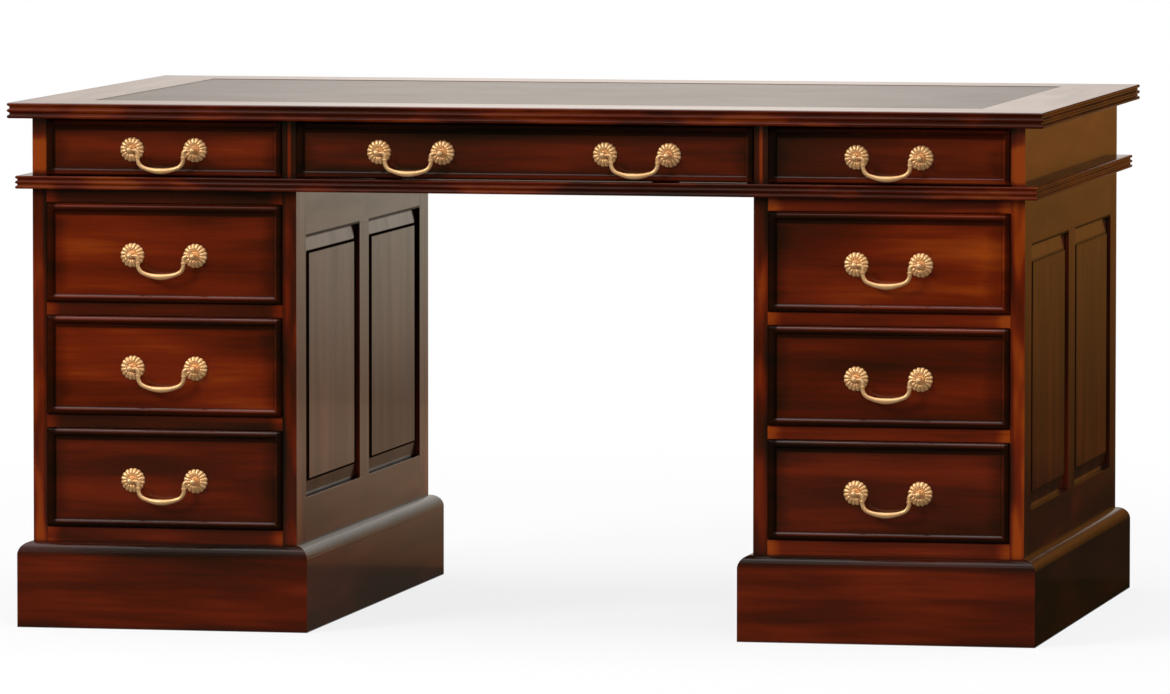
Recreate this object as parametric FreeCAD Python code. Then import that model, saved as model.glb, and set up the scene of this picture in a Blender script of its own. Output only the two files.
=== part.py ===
"""A partners desk in mahogany, with brass swan-neck handles and a leather writing inset.

Millimetres. The origin lies on the floor under the middle of the desk, +X runs to the
right along the nine-drawer side, +Y runs to the partner's side and +Z is up.
"""
import FreeCAD
import Part
import math
import os

V = FreeCAD.Vector
UP = V(0, 0, 1)
ORIGIN = V(0, 0, 0)

# Desktop
DESK_W = 1600.0
DESK_D = 1000.0
TOP_T = 24.0
TOP_OVERHANG = 32.0      # past the carcase, all round
BORDER_W = 110.0         # mitred border round the leather
LEATHER_T = 2.0
LEATHER_DROP = 0.6       # leather below the face of the border
TONGUE_T = 8.0           # core tongue in the border's groove
TONGUE_L = 10.0
TOP_REED_H = 5.4
TOP_REED_DEPTH = 3.2

# Frieze, the band of shallow drawers under the desktop
FRIEZE_OPEN_H = 88.0
FRIEZE_RAIL_H = 20.0
RAIL_D = 60.0            # rails, front to back
DIVIDER_T = 22.0
CENTRE_BOARD_T = 16.0    # between front and rear drawers
CROSS_RAIL_LEDGE = 20.0  # carries a drawer side past the board above it
WAIST_H = 20.0
WAIST_OUT = 22.0
WAIST_REED_H = 4.6
WAIST_REED_DEPTH = 2.8

# Pedestals
PEDESTAL_W = 414.0
SIDE_T = 22.0
DRAWER_OPEN_H = 153.0
TOP_RAIL_H = 21.0
MID_RAIL_H = 19.5
BASE_RAIL_H = 23.0
DRAWER_ROWS = 3
SIDE_STILE_W = 64.0
SIDE_TOP_RAIL_H = 73.0
SIDE_BASE_RAIL_H = 69.0
BOARD_T = 12.0           # base and top boards
SHELF_T = 16.0
SHELF_Z = 396.0
PARTITION_T = 16.0
PARTITION_Y = 40.0       # drawers in front of it, cupboard behind
RUNNER_W = 20.0
DOOR_STOP_T = 10.0
DOOR_STOP_L = 200.0
DRAWER_STOP_L = 40.0     # blocks on the rails that stop a drawer front
DRAWER_STOP_W = 12.0
DRAWER_STOP_H = 5.0
DRAWER_STOP_GAP = 0.3
DRAWER_STOP_PLACE = 0.55  # of the way from the middle of a drawer to its side

# Dowels between the top unit and the pedestals, and between the frieze and the desktop
DOWEL_R = 5.0
DOWEL_L = 20.0
DOWEL_X = 130.0          # each way from the middle of a pedestal
DOWEL_Y = 330.0          # each way from the middle of the desk, in the frieze boards

# Plinth
PLINTH_H = 131.0
PLINTH_OUT = 21.0
PLINTH_T = 32.0
PLINTH_OVOLO_H = 19.0
CORNER_BLOCK = 42.0
CORNER_BLOCK_H = 100.0

# Frame-and-panel work
GROOVE_T = 7.0
GROOVE_D = 8.0
PANEL_PLAY = 1.0         # room for the panel to swell in its groove
PANEL_BEVEL = 26.0
FIELD_STEP = 2.0
FIELD_SINK = 2.0         # field below the face of the frame
TENON_T = 8.0
TENON_L = 30.0
TENON_SHOULDER = 15.0

# Cupboard doors
DOOR_GAP = 1.5
DOOR_T = 22.0
DOOR_STILE_W = 60.0
DOOR_TOP_RAIL_H = 60.0
DOOR_BASE_RAIL_H = 70.0
HINGE_H = 50.0
HINGE_INSET = 70.0       # hinge from the door's top and bottom edge
HINGE_LEAF_T = 1.2
HINGE_LEAF_W = 20.0
KNUCKLE_R = 3.5
KNUCKLES = 5
KNUCKLE_PLAY = 0.3
SCREW_R = 1.6
SCREW_HEAD_R = 3.2
SCREW_L = 14.0
SCREW_EDGE = 8.0         # from the ends and the outer edge of a hinge leaf
HINGE_PIN_R = 1.5
PIN_PLAY = 0.05          # running fit on a radius
KNOB_R = 10.0
KNOB_NECK_R = 4.5
KNOB_OUT = 26.0
KNOB_ROSE_R = 11.0
KNOB_ROSE_T = 2.5
KNOB_ROSE_EASE = 1.0     # height of the slope from rose to neck

# Drawers
FRONT_GAP = 1.0          # round the drawer front
FRONT_T = 20.0
FIELD_PROUD = 2.0        # field of the front past the carcase face
BEAD_W = 12.0
BEAD_PROUD = 5.0         # past the field
DRAWER_SIDE_T = 12.0
DRAWER_SIDE_PLAY = 1.5
DRAWER_HEADROOM = 6.0
DRAWER_LAP = 8.0         # side let into the back of the front
DRAWER_BACK_GAP = 4.0
BOTTOM_T = 6.0
BOTTOM_UP = 10.0
BOTTOM_GROOVE = 5.0
BACK_DROP = 2.0
TAIL_PITCH = 40.0        # nearest spacing of the dovetails
TAIL_SHARE = 0.55        # width of a tail's root, of the spacing
TAIL_SLOPE = 1 / 6

# Swan-neck handles
HANDLE_CENTRES = 98.5
HANDLE_DROP = 3.0        # pivots below the middle of the drawer front
CENTRE_PAIR = 350.0      # between the two handles of a wide drawer
ROSETTE_R = 19.0
ROSETTE_PETALS = 16
ROSETTE_SCALLOP = 1.1
ROSETTE_RIM = 2.2
ROSETTE_DOME = 5.0
ROSETTE_SWELL = 0.6      # of the dome above a straight slope
ROSETTE_CROWN_R = 9.2
ROSETTE_DISH_R = 7.7
ROSETTE_DISH_Z = 3.6
PETAL_GROOVE_R = 1.3
PETAL_GROOVE_DEPTH = 0.8
POST_R = 3.4
POST_COLLAR_R = 6.2
POST_COLLAR_H = 1.2
POST_EASE = 1.5          # cove from the collar into the post
BOLT_R = 2.5
BOLT_PLAY = 0.3
BOLT_PAST_NUT = 1.5
NUT_T = 4.0
NUT_ACROSS = 8.0
NUT_FLANGE_R = 6.5
NUT_FLANGE_T = 1.2
BALL_R = 5.2
PIVOT_OUT = 21.0         # pivot axis from the drawer's field
PIN_R = 2.0
PIN_L = 7.0
PIN_END_PLAY = 0.3
BAIL_R = 3.2
GRIP_R = 4.6             # thickest section, middle of the grip
NECK_INSET = 13.5        # neck inside its pivot post
SHOULDER_BEND = 5.0
ELBOW_BEND = 14.5
GRIP_BEND = 72.0
GRIP_DROP = 31.5         # middle of the grip below the pivots
COLLAR_R = 4.2
COLLAR_H = 2.4
COLLAR_ROUND = 0.8
COLLAR_DROP = 10.5
GRIP_STATIONS = 3        # each side of the middle

# Places that follow from the sizes above
CARCASE_W = DESK_W - 2 * TOP_OVERHANG
CARCASE_D = DESK_D - 2 * TOP_OVERHANG
CABINET_H = DRAWER_ROWS * DRAWER_OPEN_H + TOP_RAIL_H + (DRAWER_ROWS - 1) * MID_RAIL_H + BASE_RAIL_H
CABINET_TOP = PLINTH_H + CABINET_H
FRIEZE_FLOOR = CABINET_TOP + FRIEZE_RAIL_H
TOP_UNDERSIDE = FRIEZE_FLOOR + FRIEZE_OPEN_H
DESK_H = TOP_UNDERSIDE + TOP_T
BAY_W = PEDESTAL_W - 2 * SIDE_T
PEDESTAL_X = (CARCASE_W - PEDESTAL_W) / 2
CENTRE_BAY_W = CARCASE_W - 2 * (SIDE_T + BAY_W + DIVIDER_T)
SIDE_BAY_X = (CENTRE_BAY_W + BAY_W) / 2 + DIVIDER_T
FRONT_Y = -CARCASE_D / 2
REAR_Y = CARCASE_D / 2
FRIEZE_DRAWER_L = CARCASE_D / 2 - CENTRE_BOARD_T / 2 - DRAWER_BACK_GAP
PEDESTAL_DRAWER_L = PARTITION_Y - FRONT_Y - DRAWER_BACK_GAP
DOOR_W = BAY_W - 2 * DOOR_GAP
DOOR_OPEN_H = CABINET_H - TOP_RAIL_H - BASE_RAIL_H
DOOR_H = DOOR_OPEN_H - 2 * DOOR_GAP
DOOR_Z = PLINTH_H + BASE_RAIL_H + DOOR_GAP
HINGE_PIN_Y = KNUCKLE_R + KNUCKLE_PLAY
BOLT_END = -FRONT_T - NUT_T - BOLT_PAST_NUT


def box(x0, x1, y0, y1, z0, z1):
    """Box between two corners."""
    return Part.makeBox(x1 - x0, y1 - y0, z1 - z0, V(x0, y0, z0))


def moved(shape, x=0.0, y=0.0, z=0.0):
    """Copy of a shape, shifted."""
    copy = shape.copy()
    copy.translate(V(x, y, z))
    return copy


def turned(shape, angle, axis=UP):
    """Copy of a shape, turned about an axis through the origin."""
    copy = shape.copy()
    copy.rotate(ORIGIN, axis, angle)
    return copy


def mirrored(shape):
    """Copy of a shape with left and right changed over."""
    return shape.mirror(ORIGIN, V(1, 0, 0))


def cut_all(shape, tools):
    """Shape with every tool that reaches it taken out."""
    for tool in tools:
        if shape.BoundBox.intersect(tool.BoundBox):
            shape = shape.cut(tool)
    return shape


def outline(steps):
    """Closed wire in the XZ plane through (x, z) points; ((x, z), (x, z)) is an arc's middle and end."""
    edges = []
    here = V(steps[0][0], 0, steps[0][1])
    for step in steps[1:] + steps[:1]:
        if isinstance(step[0], tuple):
            middle = V(step[0][0], 0, step[0][1])
            end = V(step[1][0], 0, step[1][1])
            edges.append(Part.Arc(here, middle, end).toShape())
        else:
            end = V(step[0], 0, step[1])
            edges.append(Part.makeLine(here, end))
        here = end
    return Part.Wire(edges)


def turning(steps):
    """Solid of revolution about Z from an outline of (radius, height) points."""
    return Part.Face(outline(steps)).revolve(ORIGIN, UP, 360)


def reeded_edge(height, reed, depth):
    """Steps down an edge of three rounded reeds with a cove between each pair, x running inward."""
    nose = reed / 2
    cove = (height - 3 * reed) / 2
    steps = []
    z = height
    for number in range(3):
        steps.append(((0, z - nose), (nose, z - reed)))
        z -= reed
        if number < 2:
            steps.append(((depth, z - cove / 2), (nose, z - cove)))
            z -= cove
    return steps


def mitred_frame(steps, width, depth):
    """Four boards round a rectangle with 45 degree mitres; the profile's x runs inward."""
    section = Part.Face(outline(steps))
    reach = section.BoundBox.XMax
    top = section.BoundBox.ZMax
    boards = []
    for side, (length, across) in enumerate([(width, depth), (depth, width)] * 2):
        face = moved(turned(section, 90), -length / 2, -across / 2)
        end = length / 2
        corners = [(-end, 0), (end, 0), (end - reach, reach), (reach - end, reach)]
        plan = [V(x, y - across / 2, 0) for x, y in corners]
        prism = Part.Face(Part.makePolygon(plan + plan[:1])).extrude(V(0, 0, top))
        boards.append(turned(face.extrude(V(length, 0, 0)).common(prism), 90 * side))
    return boards


def raised_panel(width, height, thickness):
    """Raised-and-fielded panel that faces -Y, for an opening width x height in a frame of that thickness."""
    edge = GROOVE_D - PANEL_PLAY
    tongue_y = (thickness - GROOVE_T) / 2
    tongue = box(-width / 2 - edge, width / 2 + edge, tongue_y, tongue_y + GROOVE_T, -edge, height + edge)
    step_y = FIELD_SINK + FIELD_STEP
    rings = []
    for y, inset in ((tongue_y, 0.0), (step_y, PANEL_BEVEL)):
        x = width / 2 - inset
        ring = [V(-x, y, inset), V(x, y, inset), V(x, y, height - inset), V(-x, y, height - inset)]
        rings.append(Part.makePolygon(ring + ring[:1]))
    bevel = Part.makeLoft(rings, True, True)
    inset = PANEL_BEVEL
    field = box(inset - width / 2, width / 2 - inset, FIELD_SINK, step_y, inset, height - inset)
    return tongue.fuse(bevel).fuse(field).removeSplitter()


def panelled_frame(width, height, thickness, stile, top_rail, base_rail, columns):
    """Mortised frame with a raised panel in each column, facing -Y with its face on y = 0."""
    opening_w = (width - (columns + 1) * stile) / columns
    opening_h = height - top_rail - base_rail
    groove_y = (thickness - GROOVE_T) / 2
    tenon_y = (thickness - TENON_T) / 2
    inner = width / 2 - stile
    openings = [-width / 2 + stile + i * (opening_w + stile) for i in range(columns)]
    grooves = []
    for x in openings:
        grooves.append(box(x - GROOVE_D, x + opening_w + GROOVE_D, groove_y, groove_y + GROOVE_T,
                           base_rail - GROOVE_D, height - top_rail + GROOVE_D))
    stiles = [box(-width / 2, -inner, 0, thickness, 0, height),
              box(inner, width / 2, 0, thickness, 0, height)]
    rails = []
    tenons = []
    for low, high in ((0, base_rail), (height - top_rail, height)):
        rails.append(box(-inner, inner, 0, thickness, low, high))
        tenons.append(box(-inner - TENON_L, inner + TENON_L, tenon_y, tenon_y + TENON_T,
                          low + TENON_SHOULDER, high - TENON_SHOULDER))
    stiles = [cut_all(piece, tenons + grooves) for piece in stiles]
    rails = [cut_all(rail.fuse(tenon), grooves) for rail, tenon in zip(rails, tenons)]
    muntins = []
    for x in openings[1:]:
        body = box(x - stile, x, 0, thickness, base_rail, height - top_rail)
        tenon = box(x - stile + TENON_SHOULDER, x - TENON_SHOULDER, tenon_y, tenon_y + TENON_T,
                    base_rail - TENON_L, height - top_rail + TENON_L)
        rails = [rail.cut(tenon) for rail in rails]
        muntins.append(cut_all(body.fuse(tenon), grooves))
    members = [piece.removeSplitter() for piece in stiles + rails + muntins]
    panel = raised_panel(opening_w, opening_h, thickness)
    panels = [moved(panel, x + opening_w / 2, 0, base_rail) for x in openings]
    return members, panels


def drawer_stops(half_w, floor):
    """Two blocks on the front rail of a drawer opening centred on x = 0."""
    y = FRONT_Y - FIELD_PROUD + FRONT_T + DRAWER_STOP_GAP
    x = half_w * DRAWER_STOP_PLACE
    stop = box(x, x + DRAWER_STOP_L, y, y + DRAWER_STOP_W, floor, floor + DRAWER_STOP_H)
    return [stop, mirrored(stop)]


# ------------------------------------------------------------------ top unit
def desktop():
    """Mitred border, core panel tongued into it, and the leather let in flush."""
    nose = TOP_REED_H / 2
    leather_z = TOP_T - LEATHER_DROP
    core_t = leather_z - LEATHER_T
    groove_low = (core_t - TONGUE_T) / 2
    groove_high = groove_low + TONGUE_T
    steps = [(nose, TOP_T)] + reeded_edge(TOP_T, TOP_REED_H, TOP_REED_DEPTH)
    steps += [(BORDER_W, 0), (BORDER_W, groove_low), (BORDER_W - TONGUE_L, groove_low)]
    steps += [(BORDER_W - TONGUE_L, groove_high), (BORDER_W, groove_high), (BORDER_W, TOP_T)]
    border = [moved(board, 0, 0, TOP_UNDERSIDE) for board in mitred_frame(steps, DESK_W, DESK_D)]
    x = DESK_W / 2 - BORDER_W
    y = DESK_D / 2 - BORDER_W
    core = box(-x, x, -y, y, 0, core_t)
    tongue = box(-x - TONGUE_L, x + TONGUE_L, -y - TONGUE_L, y + TONGUE_L, groove_low, groove_high)
    core = moved(core.fuse(tongue).removeSplitter(), 0, 0, TOP_UNDERSIDE)
    leather = moved(box(-x, x, -y, y, core_t, leather_z), 0, 0, TOP_UNDERSIDE)
    return {"desktop_border": border, "desktop_core": [core], "leather_inset": [leather]}


def frieze():
    """End boards, dividers, centre boards, and the rails and stops of the shallow drawers."""
    half_w = CARCASE_W / 2
    bay = CENTRE_BAY_W / 2
    end = box(half_w - SIDE_T, half_w, FRONT_Y, REAR_Y, CABINET_TOP, TOP_UNDERSIDE)
    divider = box(bay, bay + DIVIDER_T, FRONT_Y, REAR_Y, FRIEZE_FLOOR, TOP_UNDERSIDE)
    half_t = CENTRE_BOARD_T / 2
    side_board = box(bay + DIVIDER_T, half_w - SIDE_T, -half_t, half_t, FRIEZE_FLOOR, TOP_UNDERSIDE)
    boards = [end, divider, side_board]
    boards += [mirrored(board) for board in boards]
    boards.append(box(-bay, bay, -half_t, half_t, FRIEZE_FLOOR, TOP_UNDERSIDE))
    reach = half_w - SIDE_T
    front = [box(-reach, reach, FRONT_Y, FRONT_Y + RAIL_D, CABINET_TOP, FRIEZE_FLOOR)]
    for half, x in ((bay, 0.0), (BAY_W / 2, -SIDE_BAY_X), (BAY_W / 2, SIDE_BAY_X)):
        front += [moved(stop, x) for stop in drawer_stops(half, FRIEZE_FLOOR)]
    rails = front + [turned(piece, 180) for piece in front]
    for low, high in ((bay - CROSS_RAIL_LEDGE, bay + DIVIDER_T + CROSS_RAIL_LEDGE),
                      (reach - CROSS_RAIL_LEDGE, reach)):
        rail = box(low, high, FRONT_Y + RAIL_D, REAR_Y - RAIL_D, CABINET_TOP, FRIEZE_FLOOR)
        rails += [rail, mirrored(rail)]
    return {"frieze_boards": boards, "frieze_rails": rails}


def waist_moulding():
    """Reeded strips round the foot of the frieze."""
    nose = WAIST_REED_H / 2
    steps = [(nose, WAIST_H)] + reeded_edge(WAIST_H, WAIST_REED_H, WAIST_REED_DEPTH)
    steps += [(WAIST_OUT, 0), (WAIST_OUT, WAIST_H)]
    strips = mitred_frame(steps, CARCASE_W + 2 * WAIST_OUT, CARCASE_D + 2 * WAIST_OUT)
    return {"waist_moulding": [moved(strip, 0, 0, CABINET_TOP) for strip in strips]}


# ----------------------------------------------------------------- pedestals
def pedestal_sides():
    """Frames and panels of both sides of a pedestal that stands on x = 0."""
    members, panels = panelled_frame(CARCASE_D, CABINET_H, SIDE_T, SIDE_STILE_W, SIDE_TOP_RAIL_H,
                                     SIDE_BASE_RAIL_H, 2)
    placed = []
    for group in (members, panels):
        right = [moved(turned(piece, 90), PEDESTAL_W / 2, 0, PLINTH_H) for piece in group]
        placed.append(right + [mirrored(piece) for piece in right])
    return placed


def row_floors():
    """Height of the floor of each drawer opening in a pedestal, from the top row down."""
    lowest = PLINTH_H + BASE_RAIL_H
    return [lowest + row * (DRAWER_OPEN_H + MID_RAIL_H) for row in reversed(range(DRAWER_ROWS))]


def pedestal_rails():
    """Drawer rails with their stops, door rails, and the runners behind the drawer rails."""
    half = BAY_W / 2
    rails = [box(-half, half, FRONT_Y, FRONT_Y + RAIL_D, CABINET_TOP - TOP_RAIL_H, CABINET_TOP)]
    rails.append(box(-half, half, FRONT_Y, FRONT_Y + RAIL_D, PLINTH_H, PLINTH_H + BASE_RAIL_H))
    rails += [turned(rail, 180) for rail in rails]
    for floor in row_floors()[:-1]:
        rails.append(box(-half, half, FRONT_Y, FRONT_Y + RAIL_D, floor - MID_RAIL_H, floor))
        runner = box(half - RUNNER_W, half, FRONT_Y + RAIL_D, PARTITION_Y, floor - MID_RAIL_H, floor)
        rails += [runner, mirrored(runner)]
    for floor in row_floors():
        rails += drawer_stops(half, floor)
    return rails


def pedestal_boards(outer):
    """Base, top, partition, shelf and door stop; outer is 1 where the outside of the desk is at +x."""
    half = BAY_W / 2
    y = REAR_Y - RAIL_D
    base_top = PLINTH_H + BASE_RAIL_H
    top_low = CABINET_TOP - BOARD_T
    door_y = REAR_Y - DOOR_T
    boards = [box(-half, half, -y, y, base_top - BOARD_T, base_top),
              box(-half, half, -y, y, top_low, CABINET_TOP),
              box(-half, half, PARTITION_Y, PARTITION_Y + PARTITION_T, base_top, top_low),
              box(-half, half, PARTITION_Y + PARTITION_T, door_y - DOOR_STOP_T, SHELF_Z, SHELF_Z + SHELF_T)]
    stop_z = SHELF_Z + SHELF_T
    stop = box(-half, -half + DOOR_STOP_T, door_y - DOOR_STOP_T, door_y, stop_z - DOOR_STOP_L, stop_z)
    boards.append(stop if outer > 0 else mirrored(stop))
    return boards


def plinth():
    """Mitred plinth with an ovolo on its upper edge, and the blocks glued in its corners."""
    bulge = math.sqrt(0.5)
    ovolo_middle = (PLINTH_OUT * (1 - bulge), PLINTH_H - PLINTH_OVOLO_H * (1 - bulge))
    steps = [(PLINTH_OUT, PLINTH_H), (ovolo_middle, (0, PLINTH_H - PLINTH_OVOLO_H)),
             (0, 0), (PLINTH_T, 0), (PLINTH_T, PLINTH_H)]
    pieces = mitred_frame(steps, PEDESTAL_W + 2 * PLINTH_OUT, CARCASE_D + 2 * PLINTH_OUT)
    x = PEDESTAL_W / 2 + PLINTH_OUT - PLINTH_T
    y = CARCASE_D / 2 + PLINTH_OUT - PLINTH_T
    low = PLINTH_H - CORNER_BLOCK_H
    block = box(x - CORNER_BLOCK, x, y - CORNER_BLOCK, y, low, PLINTH_H)
    for corner in (block, mirrored(block)):
        pieces += [corner, turned(corner, 180)]
    return pieces


# ---------------------------------------------------------------- cupboards
def hinge_heights():
    """Lower end of each hinge."""
    return [DOOR_Z + HINGE_INSET, DOOR_Z + DOOR_H - HINGE_INSET - HINGE_H]


def hinge_leaf(first, edge_x, inward):
    """Leaf with every second knuckle from `first`, its flat let in at edge_x towards inward, pin on x = 0."""
    pitch = HINGE_H / KNUCKLES
    x0, x1 = sorted((edge_x, edge_x + inward * HINGE_LEAF_T))
    leaf = box(x0, x1, -HINGE_PIN_Y - HINGE_LEAF_W, -HINGE_PIN_Y, 0, HINGE_H)
    for number in range(first, KNUCKLES, 2):
        z = number * pitch
        leaf = leaf.fuse(box(x0, x1, -HINGE_PIN_Y, 0, z, z + pitch))
        leaf = leaf.fuse(Part.makeCylinder(KNUCKLE_R, pitch, V(0, 0, z)))
    return leaf


def hinge_screws(edge_x, inward):
    """Countersunk screws through a leaf whose flat lies at edge_x, pointing inward."""
    head = SCREW_HEAD_R - SCREW_R
    steps = [(0, 0), (SCREW_HEAD_R, 0), (SCREW_R, head), (SCREW_R, SCREW_L - SCREW_R), (0, SCREW_L)]
    screw = turned(turning(steps), inward * 90, V(0, 1, 0))
    y = SCREW_EDGE - HINGE_PIN_Y - HINGE_LEAF_W
    return [moved(screw, edge_x, y, z) for z in (SCREW_EDGE, HINGE_H / 2, HINGE_H - SCREW_EDGE)]


def fixed_hinge_leaf(screws):
    """Leaf on the cabinet with the hinge pin through it."""
    leaf = hinge_leaf(0, DOOR_GAP / 2, 1)
    return cut_all(leaf.fuse(Part.makeCylinder(HINGE_PIN_R, HINGE_H)).removeSplitter(), screws)


def moving_hinge_leaf(screws):
    """Leaf on the door; its knuckles turn on the pin between those of the fixed leaf."""
    pitch = HINGE_H / KNUCKLES
    leaf = hinge_leaf(1, -DOOR_GAP / 2, -1)
    leaf = leaf.cut(Part.makeCylinder(HINGE_PIN_R + PIN_PLAY, HINGE_H))
    for number in range(0, KNUCKLES, 2):
        z = number * pitch - KNUCKLE_PLAY
        clear = Part.makeCylinder(KNUCKLE_R + KNUCKLE_PLAY, pitch + 2 * KNUCKLE_PLAY, V(0, 0, z))
        leaf = leaf.cut(clear)
    return cut_all(leaf.removeSplitter(), screws)


def knob():
    """Turned knob on a round rose, standing out of y = 0 towards +Y."""
    ball_z = KNOB_OUT - KNOB_R
    neck_top = ball_z - math.sqrt(KNOB_R ** 2 - KNOB_NECK_R ** 2)
    steps = [(0, 0), (KNOB_ROSE_R, 0), (KNOB_ROSE_R, KNOB_ROSE_T),
             (KNOB_NECK_R, KNOB_ROSE_T + KNOB_ROSE_EASE),
             (KNOB_NECK_R, neck_top), ((KNOB_R, ball_z), (0, KNOB_OUT))]
    return turned(turning(steps), -90, V(1, 0, 0))


def cupboard(outer):
    """Door, door fittings, fixed fittings and the cuts for them, for a pedestal standing on x = 0."""
    members, panels = panelled_frame(DOOR_W, DOOR_H, DOOR_T, DOOR_STILE_W, DOOR_TOP_RAIL_H,
                                     DOOR_BASE_RAIL_H, 1)
    door = [moved(turned(piece, 180), 0, REAR_Y, DOOR_Z) for piece in members + panels]
    half = BAY_W / 2
    pin_x = half - DOOR_GAP / 2
    leaf_x = half - DOOR_GAP
    leaf_y = REAR_Y - HINGE_LEAF_W
    fixed_screws = hinge_screws(DOOR_GAP / 2, 1)
    door_screws = hinge_screws(-DOOR_GAP / 2, -1)
    fixed_set = [fixed_hinge_leaf(fixed_screws)] + fixed_screws
    door_set = [moving_hinge_leaf(door_screws)] + door_screws
    fixed = []
    fittings = []
    frame_cuts = []
    for z in hinge_heights():
        fixed += [moved(piece, pin_x, REAR_Y + HINGE_PIN_Y, z) for piece in fixed_set]
        fittings += [moved(piece, pin_x, REAR_Y + HINGE_PIN_Y, z) for piece in door_set]
        door_cut = box(leaf_x - HINGE_LEAF_T, leaf_x, leaf_y, REAR_Y, z, z + HINGE_H)
        door = [cut_all(piece, [door_cut] + fittings) for piece in door]
        frame_cuts.append(box(half, half + HINGE_LEAF_T, leaf_y, REAR_Y, z, z + HINGE_H))
    frame_cuts += fixed
    fittings.append(moved(knob(), DOOR_STILE_W / 2 - DOOR_W / 2, REAR_Y, DOOR_Z + DOOR_H / 2))
    groups = [door, fittings, fixed, frame_cuts]
    if outer < 0:
        groups = [[mirrored(piece) for piece in group] for group in groups]
    return groups


def pedestal(side, outer):
    """All pieces of one pedestal with its cupboard, and the fixed hinge leaves and screws apart."""
    x = outer * PEDESTAL_X
    frames, panels = pedestal_sides()
    door, fittings, fixed, frame_cuts = cupboard(outer)
    frames = [cut_all(piece, frame_cuts) for piece in frames]
    nodes = {side + "_pedestal_side_frames": frames,
             side + "_pedestal_side_panels": panels,
             side + "_pedestal_rails_and_runners": pedestal_rails(),
             side + "_pedestal_inner_boards": pedestal_boards(outer),
             side + "_pedestal_plinth": plinth(),
             side + "_cupboard_door": door,
             side + "_cupboard_door_fittings": fittings}
    nodes = {name: [moved(piece, x) for piece in pieces] for name, pieces in nodes.items()}
    return nodes, [moved(piece, x) for piece in fixed]


# ------------------------------------------------------------------- drawers
def drawer_front(width, height):
    """Front with a half-round bead round its edge; it faces -Y, field on y = 0."""
    x = width / 2
    corners = [V(-x, 0, 0), V(x, 0, 0), V(x, 0, height), V(-x, 0, height), V(-x, 0, 0)]
    root = FIELD_PROUD / 2
    steps = [(0, -root), (0, 0), ((BEAD_W / 2, BEAD_PROUD), (BEAD_W, 0)), (BEAD_W, -root)]
    profile = turned(outline(steps), 90, V(1, 0, 0))
    profile = moved(turned(profile, -90, V(0, 1, 0)), -x)
    border = Part.Wire(Part.makePolygon(corners).Edges).makePipeShell([profile], True, False, 1)
    return box(-x, x, 0, FRONT_T, 0, height).fuse(border).removeSplitter()


def dovetails(inner, outer, rim, root_y, end_y):
    """Tails on the end of a drawer side that lies between x = inner and outer; they widen to end_y."""
    count = round(rim / TAIL_PITCH)
    pitch = rim / count
    root = pitch * TAIL_SHARE / 2
    end = root + abs(end_y - root_y) * TAIL_SLOPE
    tails = []
    for number in range(count):
        z = (number + 0.5) * pitch
        corners = [V(inner, root_y, z - root), V(inner, root_y, z + root),
                   V(inner, end_y, z + end), V(inner, end_y, z - end)]
        tails.append(Part.Face(Part.makePolygon(corners + corners[:1])).extrude(V(outer - inner, 0, 0)))
    return tails


def drawer(open_w, open_h, length, bolt_holes):
    """Front, sides, back and bottom of a drawer, dovetailed; carcase face on y = 0, runner on z = 0."""
    field = -FIELD_PROUD
    behind = field + FRONT_T
    lap_y = behind - DRAWER_LAP
    back_y = length - DRAWER_SIDE_T
    outer = open_w / 2 - DRAWER_SIDE_PLAY
    inner = outer - DRAWER_SIDE_T
    rim = open_h - DRAWER_HEADROOM
    bottom_top = BOTTOM_UP + BOTTOM_T
    bottom = box(-inner - BOTTOM_GROOVE, inner + BOTTOM_GROOVE, behind - BOTTOM_GROOVE, length,
                 BOTTOM_UP, bottom_top)
    front_pins = cut_all(box(inner, outer, lap_y, behind, 0, rim),
                         dovetails(inner, outer, rim, behind, lap_y))
    rear_tails = dovetails(inner, outer, rim, back_y, length)
    rear_tails += [mirrored(tail) for tail in rear_tails]
    back = cut_all(box(-outer, outer, back_y, length, bottom_top, rim - BACK_DROP), rear_tails)
    side = cut_all(box(inner, outer, lap_y, length, 0, rim), [front_pins, back, bottom])
    sides = [side, mirrored(side)]
    front = moved(drawer_front(open_w - 2 * FRONT_GAP, open_h - 2 * FRONT_GAP), 0, field, FRONT_GAP)
    front = cut_all(front, sides + [bottom] + bolt_holes)
    return [front] + sides + [back, bottom]


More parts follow.
